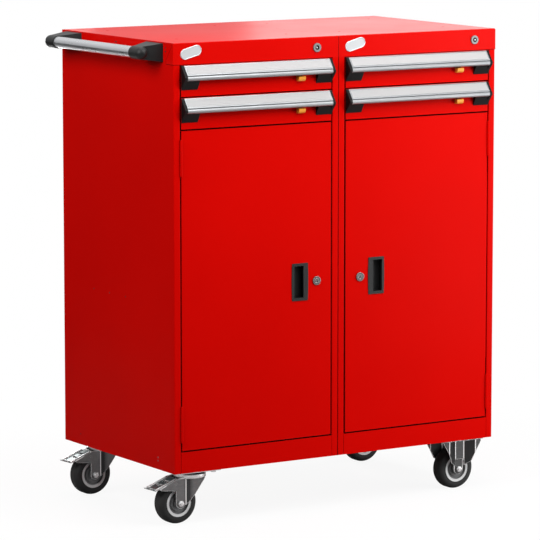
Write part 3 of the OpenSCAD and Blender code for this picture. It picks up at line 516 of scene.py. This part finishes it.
# Painted highlights on the fold lines of a rigid fork, from its axle, and the half width of every fold line
RIGID_FOLDS = (-0.0390, -0.0125, 0.0125, 0.0390)
FOLD_HALF = 0.0018
# Painted highlights on the rims of a brake pedal, from the middle of its wheel
PEDAL_RIM = 0.0206
PEDAL_RIM_HALF = 0.0038
# Start of the painted shade below the top of the swivel plates
UNDER_SHADE_DROP = 0.0041
# A rail lock's axis from the outer edge of its case
LOCK_AXIS = 0.0105


def wear(material, *names):
    """Gives a finish to solids."""
    for name in names:
        data = nodes[name].data
        data.materials.clear()
        data.materials.append(material)


swivel_x = middle("front_left_hub")[X] + TRAIL
rigid_x = middle("front_right_hub")[X]
head_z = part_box("front_swivel_fork")[1][Z]
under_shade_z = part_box("swivel_plates")[1][Z] - UNDER_SHADE_DROP

# Red coats: painted shade, nearly black, deep in the narrow gaps between parts
red_coat = coated("red_powder_coat", RED, rough=0.30, drift=0.04, dusty=0.02, specular=0.012, gap_shade=True)
top_coat = coated("red_top_coat", RED, rough=0.30, drift=0.03, dusty=0.008, specular=0.03, gap_shade=True)
# Black mouldings: painted highlights along their edges
black_grip = coated("black_moulding", (0.010, 0.0107, 0.0110), rough=0.42, specular=0.27,
                    edge=(0.04, 0.042, 0.043), **MOULDED)
black_cap = coated("cap_moulding", (0.0048, 0.0050, 0.0052), rough=0.45, specular=0.12,
                   edge=(0.022, 0.023, 0.024), **MOULDED)
orange_tab = coated("orange_moulding", (0.97, 0.375, 0.033), rough=0.32, peel=700.0, grain=2200.0,
                    depth=0.00003, drift=0.05, specular=0.3)
plate_face = coated("plate_enamel", (0.60, 0.615, 0.63), rough=0.35, peel=500.0, grain=2000.0,
                    depth=0.00002, drift=0.03)
# Dark red of the beads that paint the shade in seams and along door folds
shadow_bead_coat = coated("seam_shadow", (0.045, 0.0006, 0.0004), rough=0.6, drift=0.1, specular=0.05)
label_card = coated("label_card", (0.45, 0.452, 0.455), rough=0.45, peel=900.0, grain=3000.0,
                    depth=0.00002, drift=0.03)
# Handles: painted blue grey shade in their narrow gaps and groove
bar_aluminium = metal("satin_aluminium", (0.31, 0.32, 0.33), rough=0.42, gap_shade=(0.06, 0.07, 0.085))
grip_aluminium = metal("grip_aluminium", (0.66, 0.675, 0.70), rough=0.26, stretch=(900.0, 4.0, 900.0))
zinc_plate = metal("zinc_plate", (0.60, 0.61, 0.63), rough=0.34, **ROLLED)
# Swivel races: painted shade below the plates' top
race_zinc = metal("race_zinc", (0.55, 0.56, 0.575), rough=0.30, shade_below=under_shade_z, **ROLLED)
# Forks: painted highlights on edges and fold lines, and on the swivel fork's head; painted shade on upright
# bends and, on the swivel fork, in two bands
swivel_zinc = metal("swivel_zinc", (0.17, 0.172, 0.174), rough=0.30, bend_shade=SHADED_ZINC, **FORK,
                    shade_lines=[(X, swivel_x + SWIVEL_HOLLOW, HOLLOW_HALF),
                             (X, swivel_x + SWIVEL_TAIL, TAIL_HALF)],
                    highlight_lines=[(X, swivel_x + SWIVEL_FOLD, FOLD_HALF),
                             (Z, head_z - HEAD_DROP, HEAD_HALF)])
rigid_zinc = metal("rigid_zinc", (0.080, 0.081, 0.082), rough=0.30, bend_shade=SHADED_ZINC, **FORK,
                   highlight_lines=[(X, rigid_x + fold, FOLD_HALF) for fold in RIGID_FOLDS])
# Nut and lock metals: painted highlights along their edges
nut_zinc = metal("nut_zinc", (0.80, 0.805, 0.81), rough=0.24, stretch=(300.0, 300.0, 300.0), spread=0.12,
                 metallic=0.7, edge=(0.95, 0.95, 0.95), radius=0.0016)
lock_zinc = metal("lock_zinc", (0.10, 0.098, 0.098), rough=0.36, edge=(0.72, 0.73, 0.73), **TURNED)
case_zinc = metal("case_zinc", (0.21, 0.215, 0.215), rough=0.5, **TURNED)

wear(red_coat, "left_outer_side", "left_inner_side", "right_inner_side", "right_outer_side", "back_panels",
     "left_base", "right_base", "drawer_dividers", "shelves", "left_door", "right_door", "hinge_pins",
     *[drawer + "_drawer" for drawer in DRAWERS])
wear(top_coat, "left_top", "right_top")
wear(zinc_plate, "slide_channels")
wear(race_zinc, "swivel_plates")
wear(nut_zinc, "caster_bolts", "front_swivel_axle", "rear_swivel_axle")
wear(rigid_zinc, "rigid_forks")
wear(swivel_zinc, "front_swivel_fork", "rear_swivel_fork")
for end in ENDS:
    axle_y = middle(end + "_left_hub")[Y]
    rims = [(Y, axle_y + rim, PEDAL_RIM_HALF) for rim in (-PEDAL_RIM, PEDAL_RIM)]
    pedal_zinc = metal(end + "_pedal_zinc", (0.082, 0.122, 0.126), rough=0.28, highlight_lines=rims, **PEDAL)
    wear(pedal_zinc, end + "_brake_pedal")
wear(bar_aluminium, *[drawer + "_handle" for drawer in DRAWERS])
wear(grip_aluminium, "push_handle_tube")
wear(black_grip, "push_handle_brackets", "left_door_pull", "right_door_pull")
wear(black_cap, *[drawer + "_caps" for drawer in DRAWERS])
wear(orange_tab, *[drawer + "_latch" for drawer in DRAWERS])
wear(plate_face, "name_plates")
wear(lock_zinc, "left_door_lock_case", "right_door_lock_case", "left_door_plug", "right_door_plug")
wear(case_zinc, "rail_lock_cases")
case_low, case_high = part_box("rail_lock_cases")
for side, lock_x in zip(SIDES, (case_low[X] + LOCK_AXIS, case_high[X] - LOCK_AXIS)):
    lock_axis = (lock_x, 0.0, middle("rail_lock_cases")[Z])
    wear(plug_finish(side + "_plug_black", lock_axis), side + "_rail_plug")
for wheel in WHEELS:
    wear(hub_finish(wheel + "_hub_grey", middle(wheel + "_hub")), wheel + "_hub")
    wear(tyre_finish(wheel + "_tyre_black", middle(wheel + "_tyre")), wheel + "_tyre")


# Meshes from grids

FULL_TURN = 2 * np.pi
MERGE_DISTANCE = 1e-7


def round_angles(count):
    """Even angles round a full turn, without its end."""
    return np.linspace(0.0, FULL_TURN, count, endpoint=False)


def grid_piece(name, points, finish, body=None):
    """Piece from one or more n by m grids of points: quads between neighbours, joined round the second way.

    Points that fall together at poles and seams are merged, and the faces of a closed piece point outwards.
    """
    points = points.reshape((-1,) + points.shape[-3:])
    copies, n, m = points.shape[:3]
    index = np.arange(n * m).reshape(n, m)
    right = np.roll(index, -1, 1)
    quads = np.stack([index[:-1], right[:-1], right[1:], index[1:]], -1).reshape(1, -1, 4)
    quads = (quads + n * m * np.arange(copies).reshape(-1, 1, 1)).reshape(-1, 4)
    data = bpy.data.meshes.new(name)
    data.from_pydata(points.reshape(-1, 3).tolist(), [], quads.tolist())
    work = bmesh.new()
    work.from_mesh(data)
    bmesh.ops.remove_doubles(work, verts=work.verts, dist=MERGE_DISTANCE)
    bmesh.ops.recalc_face_normals(work, faces=work.faces)
    work.to_mesh(data)
    work.free()
    data.polygons.foreach_set("use_smooth", np.ones(len(data.polygons), bool))
    data.materials.append(finish)
    piece = bpy.data.objects.new(name, data)
    bpy.context.scene.collection.objects.link(piece)
    if body:
        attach(piece, body)
    return piece


def closed(rows):
    """Rows of a tube with a row at each end drawn together on its middle, so that both ends are closed."""
    first = np.repeat(rows[:1].mean(1, keepdims=True), rows.shape[1], 1)
    last = np.repeat(rows[-1:].mean(1, keepdims=True), rows.shape[1], 1)
    return np.concatenate([first, rows, last])


def oblong(width, height, power, count):
    """Rounded oblong: half width times cosine and half height times sine, drawn to the corners by a power."""
    angles = round_angles(count)
    cosine, sine = np.cos(angles), np.sin(angles)
    across = width / 2 * np.sign(cosine) * np.abs(cosine) ** power
    up = height / 2 * np.sign(sine) * np.abs(sine) ** power
    return across, up


# Small fittings, and dark beads of painted shade

# Places on a side, each a distance along Y and a height over the side's foot
PLUG_PLACES = [(0.12675, 0.3958), (0.05105, 0.395), (-0.02695, 0.395), (0.19855, 0.026), (0.00965, 1.003),
               (0.01565, 1.003), (-0.22005, 1.0028), (-0.22005, 0.9946)]
RIVET_PLACES = [(-0.17765, 0.0207), (-0.17765, 0.0287)]
PLUG_RADIUS = 0.0018
PLUG_RISE = 0.0003
RIVET_RADIUS = 0.0022
RIVET_RISE = 0.0007
STUD_SINK = 0.0002
SEAM_RADIUS = 0.0005
FOLD_RADIUS = 0.00045


def label_strip(drawer):
    """Label strip on a handle's sloped face: a rounded oblong across the slope, carried along X."""
    width, thickness, corner, count = 0.0205, 0.0008, 0.3, 40
    face_start, face_run = 0.0025, (-0.0160, -0.0216)
    down, rise = 0.0137, 0.0002
    end_gap, end_lip = 0.0035, 0.0038
    low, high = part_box(drawer + "_handle")
    start = np.array([high[Y] - face_start, high[Z]])
    slope = np.array(face_run) / np.linalg.norm(face_run)
    out = np.array([slope[1], -slope[0]])
    along, thick = oblong(width, thickness, corner, count)
    section = start + np.outer(along + down, slope) + np.outer(thick + rise, out)
    x = np.array([low[X] + end_gap, low[X] + end_lip, high[X] - end_lip, high[X] - end_gap])
    rows = np.empty((len(x), count, 3))
    rows[..., X] = x[:, None]
    rows[..., Y:] = section
    return grid_piece(drawer + "_label", closed(rows), label_card, drawer + "_drawer_unit")


def side_studs(name, face, sign, foot, places, radius, rise, finish):
    """Domed studs on a side: radius times sine and rise times cosine of a polar angle, turned about X.

    There is a stud at each place, sunk a little into the face, which looks along X by sign.
    """
    polar = np.linspace(0.0, np.pi / 2, 7)
    turn = round_angles(20)
    reach = np.append(radius * np.sin(polar), [radius, 0.0])[:, None]
    out = np.append(rise * np.cos(polar), [-STUD_SINK, -STUD_SINK])[:, None]
    along, height = (column.reshape(-1, 1, 1) for column in np.transpose(places))
    y = along + reach * np.cos(turn)
    z = foot + height + reach * np.sin(turn)
    x = np.broadcast_to(face + sign * out, y.shape)
    return grid_piece(name, np.stack([x, y, z], -1), finish, "cabinet")


def plate_rims():
    """Raised rims of the name plates: a small oval section carried round a plate's edge, tilted in the rail.

    The edge is a half circle at each end of a straight length, taken from the angle's cosine sign.
    """
    radius, half, tilt = 0.0125, 0.01625, math.radians(15.0)
    inset, half_width, rise = 0.0011, 0.0010, 0.0006
    low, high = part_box("name_plates")
    around = np.linspace(0.0, FULL_TURN, 97)[:, None]
    across = round_angles(12)
    reach = radius - inset + half_width * np.cos(across)
    u = np.sign(np.cos(around)) * half + np.cos(around) * reach
    v = np.sin(around) * reach
    end_room = half * math.cos(tilt) + radius
    middles = np.array([low[X] + end_room, high[X] - end_room]).reshape(2, 1, 1)
    x = middles + u * math.cos(tilt) - v * math.sin(tilt)
    z = np.broadcast_to((low[Z] + high[Z]) / 2 + u * math.sin(tilt) + v * math.cos(tilt), x.shape)
    y = np.broadcast_to(low[Y] - rise * np.sin(across), x.shape)
    return grid_piece("name_plate_rims", np.stack([x, y, z], -1), zinc_plate, "cabinet")


def seam_shadow_beads(name, runs, radius, finish, body):
    """Thin beads along straight runs, as dark lines of painted shade: a small circle across each run, carried
    from its start to its end.
    """
    turn = round_angles(10)
    grids = []
    for start, end in np.asarray(runs):
        along = (end - start) / np.linalg.norm(end - start)
        first = np.cross(along, np.roll(np.abs(along).round(), 1))
        first = first / np.linalg.norm(first)
        ring = radius * (np.outer(np.cos(turn), first) + np.outer(np.sin(turn), np.cross(along, first)))
        grids.append(closed(np.stack([start + ring, end + ring])))
    return grid_piece(name, np.stack(grids), finish, body)


def chain(spots):
    """Runs from each spot to the next."""
    return list(zip(spots[:-1], spots[1:]))


def door_fold_shadows(side):
    """Runs of the dark beads that paint the shade of the folds on a door's free edges: along its head, its
    lock side and its foot.
    """
    inset, hinge_room = 0.0003, 0.008
    low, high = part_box(side + "_door")
    if side == "left":
        hinge, lock = low[X] + hinge_room, high[X] - inset
    else:
        hinge, lock = high[X] - hinge_room, low[X] + inset
    face, foot, head = front_face + inset, low[Z] + inset, high[Z] - inset
    return chain(np.array([(hinge, face, head), (lock, face, head), (lock, face, foot), (hinge, face, foot)]))


def corner_seams():
    """Runs of the dark beads that paint the shade in the seams: along the edges of each corner flap, over the
    posts, between the two housings.
    """
    flap, flap_foot, post, rail_height = 0.033, 0.010, 0.0175, 0.0508
    edge, fold, left_sink, right_sink = 0.0006, 0.002, 0.0003, 0.0005
    near, _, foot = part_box("left_outer_side")[0]
    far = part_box("right_outer_side")[1][X]
    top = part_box("left_top")[1][Z]
    rail = top - rail_height
    flap_back = front_face + flap - edge
    corner = np.array([(front_face, rail + edge), (flap_back, rail + edge), (flap_back, rail + flap_foot),
                       (front_face + fold, top - fold - edge)])
    runs = []
    for x in (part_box("left_top")[0][X] + left_sink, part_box("right_top")[1][X] - right_sink):
        runs += chain(np.insert(corner, 0, x, axis=1))
    for start, end in ((near, near + post), (far - post, far)):
        runs.append(((start, front_face, rail), (end, front_face, rail)))
    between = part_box("left_top")[1][X]
    runs.append(((between, front_face, foot), (between, front_face, top - fold)))
    return runs


def fit_small_pieces():
    """Labels, plate rims, dark beads that paint the shade in seams and door folds, and the plugs and rivets
    of both sides.
    """
    for drawer in DRAWERS:
        label_strip(drawer)
    plate_rims()
    seam_shadow_beads("seam_shadow_beads", corner_seams(), SEAM_RADIUS, shadow_bead_coat, "cabinet")
    for side in SIDES:
        seam_shadow_beads(side + "_door_fold_shadows", door_fold_shadows(side), FOLD_RADIUS, shadow_bead_coat, side + "_door_unit")
    left_face, _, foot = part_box("left_outer_side")[0]
    right_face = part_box("right_outer_side")[1][X]
    for side, face, sign in zip(SIDES, (left_face, right_face), (-1.0, 1.0)):
        side_studs(side + "_side_plugs", face, sign, foot, PLUG_PLACES, PLUG_RADIUS, PLUG_RISE,
                   black_grip)
        side_studs(side + "_side_rivets", face, sign, foot, RIVET_PLACES, RIVET_RADIUS, RIVET_RISE,
                   lock_zinc)


# Light, floor and background

LAMPS = {
    "key_box": dict(place=(0.3, -1.5, 2.3), target=(0.25, -0.2, 0.8), size=1.5, power=37.5),
    "right_box": dict(place=(1.7, -1.3, 0.7), target=(0.45, -0.2, 0.55), size=1.3, power=26.5),
    "left_box": dict(place=(-2.8, -0.8, 2.4), target=(-0.4, 0.0, 0.8), size=1.6, power=58.5),
    "top_box": dict(place=(-0.2, 0.4, 3.6), target=(-0.1, 0.0, 1.1), size=2.0, power=33.5),
    "back_box": dict(place=(0.3, 2.4, 0.75), target=(0.05, 0.3, 0.6), size=1.0, power=34.0),
    "rear_box": dict(place=(2.2, 2.7, 1.75), target=(0.3, 0.2, 1.1), size=1.0, power=5.0),
}
EVEN_LIGHT = 0.10
WALL_RISE = (-0.14, 0.1)
WALL_LIGHT = (0.08, 0.66)
CEILING_RISE = (0.2, 0.75)
CEILING_LIGHT = (0.0, 0.45)
FLOOR_RADIUS = 3.0
FLOOR_DROP = 0.0002
FLOOR_PAINT = 0.9
FLOOR_FOR_DIFFUSE = 0.16
FLOOR_FOR_GLOSS = 0.60
FLOOR_FADE = (0.5, 1.5)
FLOOR_GLOW = (0.91, 1.0)


def place_lamp(name, place, target, size, power):
    """Square soft box aimed from place at target."""
    data = bpy.data.lights.new(name, "AREA")
    data.shape = "SQUARE"
    data.size = size
    data.energy = power
    lamp = bpy.data.objects.new(name, data)
    lamp.location = place
    away = np.array(place) - np.array(target)
    flat = math.hypot(away[X], away[Y])
    lamp.rotation_euler = (math.atan2(flat, away[Z]), 0.0, math.atan2(away[X], -away[Y]))
    bpy.context.scene.collection.objects.link(lamp)


def seen_directly(tree, path):
    """Mask of rays that come from the camera, straight or through something clear."""
    return maths(tree, "MAXIMUM", path["Is Camera Ray"], path["Is Transmission Ray"])


def light_studio():
    """White surroundings for the eye, a room that darkens downwards for gloss, a weak even light, lamps."""
    world = bpy.data.worlds.new("studio")
    bpy.context.scene.world = world
    world.use_nodes = True
    tree = world.node_tree
    tree.nodes.clear()
    path = add(tree, "ShaderNodeLightPath").outputs
    rise = split(tree, add(tree, "ShaderNodeTexCoord").outputs["Generated"])["Z"]
    walls = band(tree, rise, WALL_RISE, WALL_LIGHT)
    room = maths(tree, "ADD", walls, band(tree, rise, CEILING_RISE, CEILING_LIGHT))
    tone = blend_value(tree, path["Is Glossy Ray"], EVEN_LIGHT, room)
    back = add(tree, "ShaderNodeBackground")
    put(tree, grey(1.0), back.inputs["Color"])
    put(tree, blend_value(tree, seen_directly(tree, path), tone, 1.0), back.inputs["Strength"])
    out = add(tree, "ShaderNodeOutputWorld")
    tree.links.new(back.outputs[0], out.inputs[0])
    for name, lamp in LAMPS.items():
        place_lamp(name, **lamp)


def lay_floor():
    """Round pale floor: a level polar grid of radius r and angle t, fading into the white background."""
    r, t = np.meshgrid(np.linspace(0.0, FLOOR_RADIUS, 40), round_angles(96), indexing="ij")
    points = np.stack([r * np.cos(t), r * np.sin(t), np.zeros_like(r) - FLOOR_DROP], -1)
    material, tree, shader, place = start_finish("pale_floor")
    tree.nodes.remove(shader)
    matt = add(tree, "ShaderNodeBsdfDiffuse")
    glow = add(tree, "ShaderNodeEmission")
    put(tree, grey(1.0), glow.inputs["Color"])
    path = add(tree, "ShaderNodeLightPath").outputs
    tone = blend_colour(tree, path["Is Diffuse Ray"], grey(FLOOR_PAINT), grey(FLOOR_FOR_DIFFUSE))
    tone = blend_colour(tree, path["Is Glossy Ray"], tone, grey(FLOOR_FOR_GLOSS))
    put(tree, tone, matt.inputs["Color"])
    distance = vector_maths(tree, "LENGTH", place)["Value"]
    fade = band(tree, distance, FLOOR_FADE, FLOOR_GLOW)
    mix = add(tree, "ShaderNodeMixShader")
    put(tree, maths(tree, "MULTIPLY", seen_directly(tree, path), fade), mix.inputs[0])
    tree.links.new(matt.outputs[0], mix.inputs[1])
    tree.links.new(glow.outputs[0], mix.inputs[2])
    out = next(n for n in tree.nodes if n.type == "OUTPUT_MATERIAL")
    tree.links.new(mix.outputs[0], out.inputs[0])
    grid_piece("floor", points, material)


bpy.context.scene.view_settings.view_transform = "Standard"
place_camera()
light_studio()
lay_floor()
fit_small_pieces()
